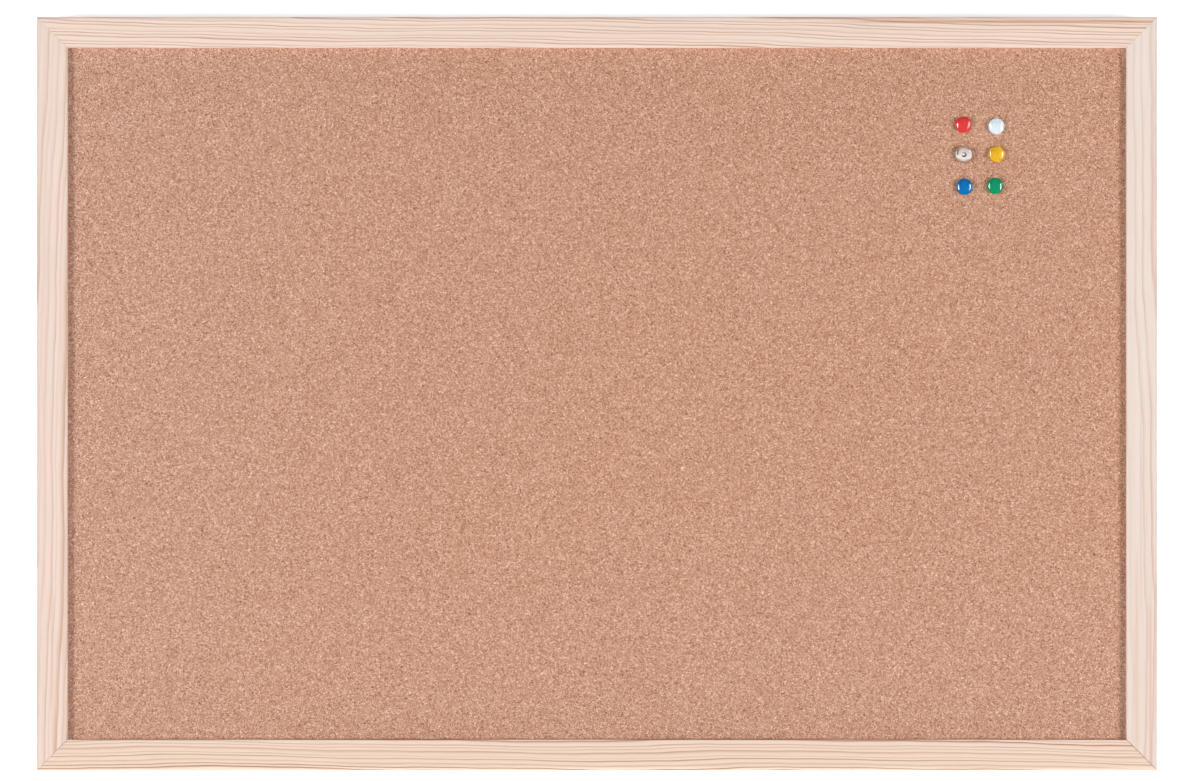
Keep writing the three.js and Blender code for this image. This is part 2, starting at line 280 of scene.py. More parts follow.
@dataclass
class Side:
    """One side of the frame: the axes along and across it, and the way inward from its outer edge."""

    node: str
    along: int
    across: int
    middle: float
    half: float
    outer: float
    inward: int
    gaps: tuple
    grain: Grain

    def place(self, along, inward, back):
        """The frame's coordinates from the side's own."""
        points = np.empty(np.shape(along) + (3,))
        points[..., self.along] = self.middle + along
        points[..., self.across] = self.outer + self.inward * inward
        points[..., Y] = FRONT + back
        return points

    def corners(self):
        """The frame's outer corners at the side's two ends, as x and z."""
        if self.along == X:
            return (LEFT, self.outer), (RIGHT, self.outer)
        return (self.outer, BOTTOM), (self.outer, TOP)


TOP_GRAIN = Grain(
    spacing=1.8, slope=0.019, tilt=0.35, seed=3.1,
    waves=((0.8, 430, 0.6, 0.06), (0.3, 143, 2.1, 0.21), (0.16, 61, 0.3, 0.43), (0.07, 23, 1.7, 0.6)),
    streaks=((2.5, 215, 110, 0.75, 0.9), (0.8, 130, 60, 0.7, 0.5), (13.4, 240, 70, 0.7, 0.25)),
    softness=0.36, contrast=1.05, lean=0.0,
    early=srgb(243, 222, 209), early_other=srgb(233, 211, 195),
    late=srgb(209, 163, 137), line=srgb(175, 126, 97),
)
BOTTOM_GRAIN = Grain(
    spacing=1.95, slope=-0.006, tilt=0.2, seed=17.4,
    waves=((0.9, 330, 1.9, 0.05), (0.4, 141, 0.4, 0.12), (0.14, 57, 1.2, 0.35), (0.06, 21, 0.2, 0.5)),
    streaks=((1.6, 225, 60, 0.5, 0.3),),
    softness=0.32, contrast=1.25, lean=0.0,
    early=srgb(236, 210, 195), early_other=srgb(231, 209, 189),
    late=srgb(202, 158, 132), line=srgb(166, 121, 94),
)
LEFT_GRAIN = Grain(
    spacing=2.6, slope=0.024, tilt=0.6, seed=29.8,
    waves=((0.8, 300, 0.2, 0.05), (0.35, 121, 1.4, 0.15), (0.15, 49, 2.0, 0.4), (0.06, 19, 0.9, 0.6)),
    streaks=((14.4, -120, 90, 1.0, 0.45), (8.3, -140, 60, 0.7, 0.5), (12.8, 20, 60, 0.8, 0.3)),
    softness=0.2, contrast=0.85, lean=-0.16,
    early=srgb(236, 216, 204), early_other=srgb(231, 208, 196),
    late=srgb(220, 187, 168), line=srgb(202, 166, 146),
)
RIGHT_GRAIN = Grain(
    spacing=3.8, slope=0.012, tilt=0.8, seed=41.5,
    waves=((0.9, 350, 2.6, 0.05), (0.4, 131, 0.9, 0.16), (0.15, 53, 1.1, 0.38), (0.06, 20, 2.3, 0.6)),
    streaks=((3.7, -160, 70, 0.6, 0.9), (10.8, -140, 70, 1.0, 0.55), (8.6, -60, 70, 0.5, 0.5)),
    softness=0.35, contrast=0.52, lean=-0.45,
    early=srgb(235, 220, 211), early_other=srgb(230, 212, 201),
    late=srgb(221, 190, 175), line=srgb(206, 170, 154),
)
SIDES = (
    Side("top_rail", X, Z, MIDDLE_X, HALF_WIDTH, TOP, -1, (TOP_LEFT_GAP, TOP_RIGHT_GAP), TOP_GRAIN),
    Side("bottom_rail", X, Z, MIDDLE_X, HALF_WIDTH, BOTTOM, 1, (LOW_LEFT_GAP, LOW_RIGHT_GAP), BOTTOM_GRAIN),
    Side("left_stile", Z, X, MIDDLE_Z, HALF_HEIGHT, LEFT, 1, (LOW_LEFT_GAP, TOP_LEFT_GAP), LEFT_GRAIN),
    Side("right_stile", Z, X, MIDDLE_Z, HALF_HEIGHT, RIGHT, -1, (LOW_RIGHT_GAP, TOP_RIGHT_GAP), RIGHT_GRAIN),
)

# Shape of a year ring's dark line, and how uneven the rings' widths are
LATE_PEAK = 0.88
RING_UNEVEN = 0.2
RING_UNEVEN_RATE = 0.37


def smooth(low, high, value):
    share = np.clip((value - low) / (high - low), 0, 1)
    return share * share * (3 - 2 * share)


def ring_phase(grain, along, inward, back):
    """How many year rings lie between a place in the wood and the rail's outer front edge."""
    depth = inward * math.cos(grain.tilt) + back * math.sin(grain.tilt) - grain.slope * along
    for height, length, start, turn in grain.waves:
        depth = depth + height * np.sin(2 * math.pi * along / length + start + turn * inward)
    rings = depth / grain.spacing
    return rings + RING_UNEVEN * np.sin(2 * math.pi * RING_UNEVEN_RATE * rings + grain.seed)


def late_wood(grain, phase):
    """From 0 in the pale early wood to 1 at the dark line that ends each ring."""
    share = phase % 1
    return smooth(grain.softness, LATE_PEAK, share) * (1 - smooth(LATE_PEAK, 1, share))


# Nodes, with the range that a noise mostly keeps to
NOISE_LOW, NOISE_HIGH = 0.3, 0.7


class Graph:
    """The nodes of a material or a world, added by short calls that return sockets."""

    def __init__(self, owner):
        owner.use_nodes = True
        self.owner = owner
        self.tree = owner.node_tree
        self.tree.nodes.clear()

    def add(self, kind, inputs, **settings):
        node = self.tree.nodes.new(kind)
        for key, value in settings.items():
            setattr(node, key, value)
        for key, value in inputs.items():
            if isinstance(value, bpy.types.NodeSocket):
                self.tree.links.new(value, node.inputs[key])
            else:
                node.inputs[key].default_value = value
        return node

    def math(self, operation, *values):
        return self.add("ShaderNodeMath", dict(enumerate(values)), operation=operation).outputs[0]

    def times(self, value, factor, plus=0.0):
        """The value times the factor, plus another value."""
        return self.math("MULTIPLY_ADD", value, factor, plus)

    def vector(self, operation, *values):
        return self.add("ShaderNodeVectorMath", dict(enumerate(values)), operation=operation).outputs

    def stretch(self, vector, factors):
        return self.vector("MULTIPLY", vector, factors)[0]

    def place(self):
        """The place on the piece in millimetres of the frame."""
        coordinates = self.add("ShaderNodeTexCoord", {})
        return self.stretch(coordinates.outputs["Object"], (1 / MM,) * 3)

    def split(self, vector):
        return self.add("ShaderNodeSeparateXYZ", {0: vector}).outputs

    def join(self, x, y, z):
        return self.add("ShaderNodeCombineXYZ", {0: x, 1: y, 2: z}).outputs[0]

    def remap(self, value, low, high, to_low=0.0, to_high=1.0, shape="LINEAR"):
        inputs = {"Value": value, "From Min": low, "From Max": high, "To Min": to_low, "To Max": to_high}
        return self.add("ShaderNodeMapRange", inputs, interpolation_type=shape).outputs[0]

    def spread(self, noise, to_low=0.0, to_high=1.0):
        """A noise's usual range, spread over another."""
        return self.remap(noise, NOISE_LOW, NOISE_HIGH, to_low, to_high)

    def weigh(self, first, second, share):
        """A share of the first value with the rest from the second."""
        return self.times(first, share, self.times(second, 1 - share))

    def noise(self, vector, scale, detail=2.0, rough=0.5, output="Fac"):
        inputs = {"Vector": vector, "Scale": scale, "Detail": detail, "Roughness": rough}
        return self.add("ShaderNodeTexNoise", inputs).outputs[output]

    def cells(self, vector, size, feature="F1"):
        inputs = {"Vector": vector, "Scale": 1 / size}
        return self.add("ShaderNodeTexVoronoi", inputs, feature=feature).outputs

    def channels(self, colour):
        return self.add("ShaderNodeSeparateColor", {0: colour}).outputs

    def mix(self, share, first, second, blend="MIX"):
        inputs = {0: share, 6: first, 7: second}
        return self.add("ShaderNodeMix", inputs, data_type="RGBA", blend_type=blend).outputs[2]

    def shade(self, colour, factor):
        """The colour times a grey factor."""
        grey = self.add("ShaderNodeCombineColor", {0: factor, 1: factor, 2: factor}).outputs[0]
        return self.mix(1.0, colour, grey, "MULTIPLY")

    def ramp(self, factor, stops):
        node = self.add("ShaderNodeValToRGB", {0: factor})
        elements = node.color_ramp.elements
        while len(elements) < len(stops):
            elements.new(1.0)
        for element, (position, colour) in zip(elements, stops):
            element.position = position
            element.color = colour
        return node.outputs[0]

    def bump(self, height, depth):
        """A normal from a height of 0 to 1 that stands for so many millimetres."""
        inputs = {"Height": height, "Distance": depth * MM, "Strength": 1.0}
        return self.add("ShaderNodeBump", inputs).outputs[0]

    def seen(self):
        """1 where the camera, a mirror or a clear piece looks straight at the surface."""
        path = self.add("ShaderNodeLightPath", {}).outputs
        mirrored = self.math("MAXIMUM", path["Is Glossy Ray"], path["Is Transmission Ray"])
        return self.math("MAXIMUM", path["Is Camera Ray"], mirrored)

    def painted(self, colour, glow):
        """Matt paint with a glow that lights nothing and only shows."""
        paint = self.add("ShaderNodeBsdfDiffuse", {"Color": colour})
        light = self.add("ShaderNodeEmission", {"Strength": self.times(self.seen(), glow)})
        return self.add("ShaderNodeAddShader", {0: paint.outputs[0], 1: light.outputs[0]}).outputs[0]

    def surface(self, colour, roughness, normal, specular=0.5, metallic=0.0):
        inputs = {"Base Color": colour, "Roughness": roughness, "Normal": normal}
        inputs |= {"Specular IOR Level": specular, "Metallic": metallic}
        return self.finished(self.add("ShaderNodeBsdfPrincipled", inputs).outputs[0])

    def finished(self, shader):
        """The material, showing this shader."""
        self.add("ShaderNodeOutputMaterial", {"Surface": shader})
        return self.owner


def new_graph(name):
    return Graph(bpy.data.materials.new(name))


# Pine
WOOD_STRETCH = 0.012
FIBRE_RANGE = (0.25, 0.75)
FIBRE_SHADES = (0.92, 1.06)
RING_BIAS = 1.6
RING_STRENGTHS = (0.25, 1.15)
FADE_STRENGTHS = (0.45, 1.0)
LINE_SHARPNESS = 3.0
DUCT_STRETCH = 0.16
DUCT_SPACING = 0.75
DUCT_RADIUS = 0.16
DUCT_RARITY = 0.8
DUCT_SHADE = 0.09


def wood_place(graph, side):
    """The place in a rail: along it, inward from its outer edge and back from its front."""
    place = graph.split(graph.place())
    along = graph.math("SUBTRACT", place[side.along], side.middle)
    inward = graph.times(place[side.across], side.inward, -side.inward * side.outer)
    return along, inward, graph.math("SUBTRACT", place[Y], FRONT)


def ring_phase_nodes(graph, grain, along, inward, back):
    """What ring_phase works out, as nodes."""
    depth = graph.times(inward, math.cos(grain.tilt))
    depth = graph.times(back, math.sin(grain.tilt), depth)
    depth = graph.times(along, -grain.slope, depth)
    for height, length, start, turn in grain.waves:
        shift = graph.times(inward, turn, start)
        wave = graph.math("SINE", graph.times(along, 2 * math.pi / length, shift))
        depth = graph.times(wave, height, depth)
    rings = graph.math("DIVIDE", depth, grain.spacing)
    uneven = graph.times(rings, 2 * math.pi * RING_UNEVEN_RATE, grain.seed)
    return graph.times(graph.math("SINE", uneven), RING_UNEVEN, rings)


def late_wood_nodes(graph, grain, phase):
    """What late_wood works out, as nodes."""
    share = graph.math("FRACT", phase)
    rise = graph.remap(share, grain.softness, LATE_PEAK, shape="SMOOTHSTEP")
    fall = graph.remap(share, LATE_PEAK, 1.0, 1.0, 0.0, "SMOOTHSTEP")
    return graph.times(rise, fall)


def line_strength(graph, grain, phase, late, stretched):
    """How strong the rings' dark lines are: each ring differs, and each fades here and there."""
    number = graph.math("ADD", graph.math("FLOOR", phase), grain.seed)
    chance = graph.add("ShaderNodeTexWhiteNoise", {"W": number}, noise_dimensions="1D").outputs[0]
    ring = graph.remap(graph.math("POWER", chance, RING_BIAS), 0, 1, *RING_STRENGTHS)
    fade = graph.spread(graph.noise(stretched, scale=0.35), *FADE_STRENGTHS)
    return graph.times(graph.times(late, graph.times(ring, fade)), grain.contrast)


def resin_streak(graph, along, inward, streak):
    """A band of darker wood that fades out towards its ends and sides."""
    middle_inward, middle_along, half_length, half_width, strength = streak
    off_along = graph.math("ABSOLUTE", graph.math("SUBTRACT", along, middle_along))
    off_inward = graph.math("ABSOLUTE", graph.math("SUBTRACT", inward, middle_inward))
    across = graph.remap(off_inward, 0, 2 * half_width, 1.0, 0.0, "SMOOTHSTEP")
    length = graph.remap(off_along, half_length / 2, half_length, strength, 0.0, "SMOOTHSTEP")
    return graph.times(across, length)


def resin_ducts(graph, grain, along, inward, back):
    """1 in the short dashes of the resin ducts and 0 elsewhere."""
    drawn_out = graph.times(along, DUCT_STRETCH)
    duct = graph.cells(graph.join(drawn_out, inward, graph.math("ADD", back, grain.seed)), DUCT_SPACING)
    near = graph.math("LESS_THAN", duct["Distance"], DUCT_RADIUS)
    chosen = graph.math("GREATER_THAN", graph.channels(duct["Color"])[0], DUCT_RARITY)
    return graph.times(near, chosen)


def pine(side):
    """Planed pine whose year rings, fibres and resin ducts run along the rail."""
    grain = side.grain
    graph = new_graph(f"pine_{side.node}")
    along, inward, back = wood_place(graph, side)
    stretched = graph.join(graph.times(along, WOOD_STRETCH), graph.math("ADD", inward, grain.seed), back)

    phase = ring_phase_nodes(graph, grain, along, inward, back)
    late = late_wood_nodes(graph, grain, phase)
    strength = line_strength(graph, grain, phase, late, stretched)
    lean = graph.times(along, grain.lean / side.half)
    strength = graph.times(strength, lean, strength)
    for streak in grain.streaks:
        strength = graph.math("MAXIMUM", strength, resin_streak(graph, along, inward, streak))

    fibre = graph.noise(stretched, scale=3.2, detail=3.0, rough=0.65)
    cloud = graph.spread(graph.noise(stretched, scale=0.14))
    colour = graph.mix(graph.math("ADD", cloud, lean), grain.early, grain.early_other)
    colour = graph.mix(strength, colour, grain.late)
    thin = graph.math("POWER", late, LINE_SHARPNESS)
    colour = graph.mix(graph.times(strength, thin), colour, grain.line)
    colour = graph.shade(colour, graph.remap(fibre, *FIBRE_RANGE, *FIBRE_SHADES))
    in_duct = resin_ducts(graph, grain, along, inward, back)
    colour = graph.shade(colour, graph.times(in_duct, -DUCT_SHADE, 1.0))
    relief = graph.bump(graph.weigh(fibre, late, share=0.5), depth=0.05)
    roughness = graph.spread(fibre, 0.52, 0.66)
    return graph.surface(colour, roughness, relief, specular=0.08)


# Cork, with a colour, a range of chance and a strength for each kind of speck
CORK_GRANULE = 0.46
CORK_LUMP = 2.1 * CORK_GRANULE
CORK_LUMP_SHARE = 0.13
CORK_TONES = (
    (0.0, srgb(128, 73, 46)),
    (0.16, srgb(180, 126, 99)),
    (0.5, srgb(206, 156, 128)),
    (0.84, srgb(228, 182, 156)),
    (1.0, srgb(255, 226, 207)),
)
CREVICE_WIDTH = 0.14
CREVICE_PAINTED_SHADES = (0.88, 1.02)
CORK_MOTTLE_SHADES = (0.93, 1.07)
SPECK_SPACING = 2.2
SPECK_EDGE = (0.16, 0.3)
SPECKS = ((srgb(112, 74, 55), (0.78, 0.98), 0.75), (srgb(250, 222, 204), (0.2, 0.02), 0.6))
# Painted cast of cooler light on the cork at the left and low down, whose tint the greyer blotches share
WARM_TINT, COOL_LIGHT_AND_BLOTCH_TINT = (1.0, 0.985, 0.965, 1), (0.995, 1.04, 1.12, 1)
COOL_LIGHT_FROM_LEFT = (0.85, 0.1)
COOL_LIGHT_FROM_BELOW = (0.55, 0.0)
BLOTCH_RANGE, BLOTCH_GREY = (0.4, 0.7), 0.3


def crumbled(graph):
    """The place, bent by up to half a granule so that the granules' edges aren't straight."""
    place = graph.place()
    bend = graph.noise(place, scale=1.3 / CORK_GRANULE, rough=0.6, output="Color")
    bend = graph.vector("SUBTRACT", bend, (0.5,) * 3)[0]
    return graph.vector("MULTIPLY_ADD", bend, (CORK_GRANULE,) * 3, place)[0]


def cork_specks(graph, place, colour):
    """The colour with stray dark and pale specks in it."""
    speck = graph.cells(place, SPECK_SPACING)
    chance = graph.channels(speck["Color"])[0]
    shown = graph.remap(speck["Distance"], *SPECK_EDGE, 1.0, 0.0, "SMOOTHSTEP")
    for tone, chances, strength in SPECKS:
        share = graph.times(shown, graph.remap(chance, *chances, 0.0, strength))
        colour = graph.mix(share, colour, tone)
    return colour


def cork_light_cast_and_blotches(graph, place, colour):
    """The colour with a painted cast of cooler, greyer light at the left and low down, and greyer in random
    blotches.
    """
    x, _, z = graph.split(place)
    # Painted cooler light, strongest at the left and low down
    left = graph.remap(x, LEFT, MIDDLE_X, *COOL_LIGHT_FROM_LEFT, "SMOOTHSTEP")
    low = graph.remap(z, BOTTOM, MIDDLE_Z, *COOL_LIGHT_FROM_BELOW, "SMOOTHSTEP")
    blotch = graph.noise(place, scale=0.004, detail=1.0)
    blotch = graph.remap(blotch, *BLOTCH_RANGE, 0.0, BLOTCH_GREY)
    cool_light_and_blotch = graph.math("MAXIMUM", graph.math("MAXIMUM", left, low), blotch)
    return graph.mix(1.0, colour, graph.mix(cool_light_and_blotch, WARM_TINT, COOL_LIGHT_AND_BLOTCH_TINT), "MULTIPLY")


def cork():
    """Fine agglomerated cork: granules of many tones, painted shade in the crevices and stray specks."""
    graph = new_graph("cork")
    place = crumbled(graph)
    fine = graph.channels(graph.cells(place, CORK_GRANULE)["Color"])[0]
    coarse = graph.channels(graph.cells(place, CORK_LUMP)["Color"])[1]
    colour = graph.ramp(graph.weigh(coarse, fine, CORK_LUMP_SHARE), CORK_TONES)
    edge = graph.cells(place, CORK_GRANULE, "DISTANCE_TO_EDGE")["Distance"]
    crevice = graph.remap(edge, 0.0, CREVICE_WIDTH, shape="SMOOTHSTEP")
    # Painted shade in the crevices between the granules
    colour = graph.shade(colour, graph.remap(crevice, 0, 1, *CREVICE_PAINTED_SHADES))
    mottle = graph.noise(place, scale=2.4 / CORK_GRANULE, rough=0.6)
    colour = graph.shade(colour, graph.spread(mottle, *CORK_MOTTLE_SHADES))
    colour = cork_light_cast_and_blotches(graph, place, cork_specks(graph, place, colour))
    pore = graph.noise(place, scale=1.6, detail=3.0, rough=0.6)
    relief = graph.bump(graph.weigh(pore, crevice, share=0.6), depth=0.12)
    roughness = graph.spread(pore, 0.86, 0.98)
    return graph.surface(colour, roughness, relief, specular=0.05)


# Plastic, with each pin's colour on its crown and towards its rim
PLASTICS = {
    "red": (srgb(217, 61, 60), srgb(193, 45, 47)),
    "white": (srgb(222, 232, 240), srgb(205, 215, 224)),
    "yellow": (srgb(231, 179, 43), srgb(214, 152, 31)),
    "blue": (srgb(0, 112, 180), srgb(0, 92, 155)),
    "green": (srgb(0, 146, 99), srgb(0, 118, 78)),
}
PLASTIC_MOTTLE_SHARE = 0.25
RIM_TONE_START, RIM_TONE_END = 1.6, 0.2
RIM_TONE_SHARE = 0.5


def plastic(name, crown, rim):
    """Glossy moulded plastic, a little deeper in tone towards the rim, with a faint uneven skin."""
    graph = new_graph(name)
    place = graph.place()
    depth = graph.split(place)[Y]
    low = graph.remap(depth, CORK_FACE - RIM_TONE_START, CORK_FACE - RIM_TONE_END, shape="SMOOTHSTEP")
    mottle = graph.spread(graph.noise(place, scale=0.45), 0.0, PLASTIC_MOTTLE_SHARE)
    colour = graph.mix(graph.times(low, RIM_TONE_SHARE, mottle), crown, rim)
    skin = graph.noise(place, scale=1.3)
    relief = graph.bump(skin, depth=0.008)
    roughness = graph.spread(skin, 0.1, 0.16)
    return graph.surface(colour, roughness, relief, specular=0.14)


# Metal
METAL_RELIEF = 0.002
SCRATCH_STRETCH = (0.4, 3.0, 6.0)
NICKEL_TONES = (srgb(240, 235, 231), srgb(226, 219, 214))
# Painted shade and reflection in the plated head's dimple, partly tarnish: its colour, where it lies and how
# strong it is
PAINTED_SHADE_AND_TARNISH = srgb(58, 54, 54)
SHADE_AND_TARNISH_INNER_EDGE, SHADE_AND_TARNISH_OUTER_EDGE = (0.6, 0.9), (1.15, 1.5)
SHADE_AND_TARNISH_RIGHT, SHADE_AND_TARNISH_DOWN = 0.6, 0.8
SHADE_AND_TARNISH_REACH = (-0.6, 0.6)
SHADE_AND_TARNISH_STRENGTH = 0.9


def metal(name, tones, roughness, scale):
    """Plated or drawn metal with a faint mottle in its tone and polish, and fine scratches."""
    graph = new_graph(name)
    place = graph.place()
    mottle = graph.noise(place, scale, detail=4.0, rough=0.6)
    scratch = graph.noise(graph.stretch(place, SCRATCH_STRETCH), scale=1.2)
    colour = graph.mix(graph.spread(mottle), *tones)
    relief = graph.bump(scratch, METAL_RELIEF)
    return graph.surface(colour, graph.spread(mottle, *roughness), relief, metallic=1.0)


def bright_steel():
    tones = (srgb(206, 208, 210), srgb(176, 178, 182))
    return metal("bright_steel", tones, roughness=(0.2, 0.32), scale=0.9)


def zinc_steel():
    tones = (srgb(196, 199, 203), srgb(160, 164, 170))
    return metal("zinc_steel", tones, roughness=(0.26, 0.45), scale=1.4)


def plated_head(pin):
    """Bright nickel with painted shade and reflection on the sides of the head's dimple, partly tarnish, most
    of all low down and to the right in it.
    """
    graph = new_graph("nickel")
    place = graph.place()
    middle_x, middle_z, _, _ = axis_of(pin)
    x, _, z = graph.split(place)
    off_x, off_z = graph.math("SUBTRACT", x, middle_x), graph.math("SUBTRACT", z, middle_z)
    radius = graph.vector("LENGTH", graph.join(off_x, off_z, 0.0))["Value"]
    # Painted shade and reflection on the dimple's walls, partly tarnish, strongest at the lower right
    inner = graph.remap(radius, *SHADE_AND_TARNISH_INNER_EDGE, shape="SMOOTHSTEP")
    outer = graph.remap(radius, *SHADE_AND_TARNISH_OUTER_EDGE, 1.0, 0.0, "SMOOTHSTEP")
    lower_right = graph.times(off_x, SHADE_AND_TARNISH_RIGHT, graph.times(off_z, -SHADE_AND_TARNISH_DOWN))
    strength = graph.remap(lower_right, *SHADE_AND_TARNISH_REACH, 0.0, SHADE_AND_TARNISH_STRENGTH)
    shade_and_tarnish = graph.times(graph.times(inner, outer), strength)
    mottle = graph.noise(place, scale=0.5, detail=4.0, rough=0.6)
    colour = graph.mix(shade_and_tarnish, graph.mix(graph.spread(mottle), *NICKEL_TONES), PAINTED_SHADE_AND_TARNISH)
    roughness = graph.spread(mottle, 0.1, 0.15)
    return graph.surface(colour, roughness, graph.bump(mottle, METAL_RELIEF), metallic=1.0)


# Pressed board
MATTED_ALONG, MATTED_ACROSS = 0.35, 1.8
MATTED_RANGE = (0.36, 0.64)
WIRE_TURN = 4.2
WIRE_CREST_PAINTED_LIGHT = 0.2
WIRE_HEIGHT = 0.5
BOARD_CLOUD_SHADES = (0.95, 1.05)


def pressed_board(name, pale, dark, mesh_depth):
    """Pressed wood fibre: matted short fibres and the print of the press's wire mesh, with painted shade in
    its dents and painted light on its crests.
    """
    graph = new_graph(name)
    place = graph.place()
    along = graph.stretch(place, (MATTED_ALONG, 1, MATTED_ACROSS))
    across = graph.stretch(place, (MATTED_ACROSS, 1, MATTED_ALONG))
    fibres = [graph.noise(way, scale=1.0, detail=4.0, rough=0.7) for way in (along, across)]
    matted = graph.weigh(*fibres, share=0.5)
    wires = graph.split(graph.stretch(place, (WIRE_TURN, 1, WIRE_TURN)))
    weave = graph.times(graph.math("SINE", wires[X]), graph.math("SINE", wires[Z]))
    colour = graph.mix(graph.remap(matted, *MATTED_RANGE), dark, pale)
    cloud = graph.noise(place, scale=0.02)
    colour = graph.shade(colour, graph.spread(cloud, *BOARD_CLOUD_SHADES))
    # Painted shade in the print's dents and painted light on its crests
    colour = graph.shade(colour, graph.remap(weave, -1, 1, 1 - mesh_depth, 1 + WIRE_CREST_PAINTED_LIGHT * mesh_depth))
    relief = graph.bump(graph.times(weave, WIRE_HEIGHT, matted), mesh_depth)
    roughness = graph.spread(matted, 0.62, 0.82)
    return graph.surface(colour, roughness, relief, specular=0.3)


def fibreboard():
    return pressed_board("fibreboard", srgb(190, 160, 126), srgb(150, 120, 90), mesh_depth=0.05)


def hardboard():
    return pressed_board("hardboard", srgb(158, 117, 82), srgb(116, 81, 54), mesh_depth=0.2)


# Mesh building
def subdivided(points, pitch):
    """A closed outline with points added so that no stretch of it is longer than the pitch."""
    result = []
    for here, ahead in zip(points, points[1:] + points[:1]):
        count = max(1, math.ceil((ahead - here).length / pitch))
        result += [here.lerp(ahead, k / count) for k in range(count)]
    return result


def rounded(corners, steps, closed=False):
    """Points along (x, y, radius) corners, with an arc of that radius at each corner that has one."""
    points = []
    for i, (x, y, radius) in enumerate(corners):
        corner = Vector((x, y))
        if radius == 0 or (not closed and i in (0, len(corners) - 1)):
            points.append(corner)
            continue
        before = (Vector(corners[i - 1][:2]) - corner).normalized()
        after = (Vector(corners[(i + 1) % len(corners)][:2]) - corner).normalized()
        half = before.angle(after) / 2
        centre = corner + (before + after).normalized() * (radius / math.sin(half))
        reach = radius / math.tan(half)
        start, end = corner + before * reach - centre, corner + after * reach - centre
        sweep = math.pi - 2 * half
        for k in range(steps + 1):
            near = math.sin(sweep * (1 - k / steps)) / math.sin(sweep)
            far = math.sin(sweep * k / steps) / math.sin(sweep)
            points.append(centre + start * near + end * far)
    return points


def make_mesh(name, vertices, faces):
    """A closed mesh from vertices in millimetres, with its faces pointing out."""
    mesh = bpy.data.meshes.new(name)
    mesh.from_pydata((np.asarray(vertices) * MM).tolist(), [], faces)
    work = bmesh.new()
    work.from_mesh(mesh)
    bmesh.ops.recalc_face_normals(work, faces=work.faces)
    work.to_mesh(mesh)
    work.free()
    return mesh


def prism(outline, low, high, axis=Y):
    """Vertices and faces of a prism along an axis, on an outline given by the other two coordinates."""
    count = len(outline)
    vertices = [(*p[:axis], level, *p[axis:]) for level in (low, high) for p in outline]
    sides = [(i, (i + 1) % count, (i + 1) % count + count, i + count) for i in range(count)]
    return vertices, [tuple(range(count)), tuple(range(count, 2 * count))] + sides


def turns(count):
    """Even angles round a circle."""
    return [2 * math.pi * k / count for k in range(count)]


def round_hole(node, radius, low, high):
    """A prism that cuts a hole through from one depth to another, on a round node's axis."""
    x, z, _, _ = axis_of(node)
    outline = [(x + radius * math.cos(a), z + radius * math.sin(a)) for a in turns(SHANK_SEGMENTS)]
    return prism(outline, low - CUT_OVERRUN, high + CUT_OVERRUN)


def add_object(name, data):
    item = bpy.data.objects.new(name, data)
    bpy.context.scene.collection.objects.link(item)
    return item


def cut(mesh, prisms, operation="DIFFERENCE"):
    """The mesh with the prisms taken out of it, or only what lies within them."""
    vertices, faces = [], []
    for points, sides in prisms:
        faces += [tuple(i + len(vertices) for i in side) for side in sides]
        vertices += points
    body = add_object("body", mesh)
    cutter = add_object("cutter", make_mesh("cutter", vertices, faces))
    boolean = body.modifiers.new("cut", "BOOLEAN")
    boolean.operation, boolean.solver, boolean.object = operation, "MANIFOLD", cutter
    shaped = body.evaluated_get(bpy.context.evaluated_depsgraph_get())
    result = bpy.data.meshes.new_from_object(shaped)
    for item in (body, cutter):
        bpy.data.objects.remove(item)
    return result


def add_piece(node, mesh, material, smooth_angle=SMOOTH_ANGLE):
    """A finished piece that stands for a node and moves with the node's body."""
    mesh.materials.clear()
    mesh.materials.append(material)
    mesh.polygons.foreach_set("use_smooth", [True] * len(mesh.polygons))
    mesh.set_sharp_from_angle(angle=smooth_angle)
    piece = add_object(f"{node}_fine", mesh)
    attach(piece, BODY_OF[node])
    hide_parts(node)
    return piece


def ease_edges(item, width):
    bevel = item.modifiers.new("eased_edges", "BEVEL")
    bevel.width, bevel.segments = width * MM, EASED_SEGMENTS
    bevel.limit_method, bevel.angle_limit = "ANGLE", EASED_ANGLE


def finish_node(node, material, edge_ease=None):
    """Gives a node that keeps its own shape its finish, and eased edges where they are wanted."""
    item = frame["nodes"][node]
    item.data.materials.clear()
    item.data.materials.append(material)
    if edge_ease:
        ease_edges(item, edge_ease)


# Frame
def rail_section():
    """The moulding's outline as (inward, back) points."""
    depth = BACK - FRONT
    corners = [
        (0, 0, OUTER_ARRIS),
        (RAIL_WIDTH, 0, INNER_ARRIS),
        (RAIL_WIDTH, GROOVE_FRONT, LIP_EASE),
        (WEB, GROOVE_FRONT, 0),
        (WEB, GROOVE_BACK, 0),
        (RAIL_WIDTH, GROOVE_BACK, LIP_EASE),
        (RAIL_WIDTH, depth, BACK_EASE),
        (0, depth, BACK_EASE),
    ]
    return subdivided(rounded(corners, ARRIS_STEPS, closed=True), SECTION_PITCH)


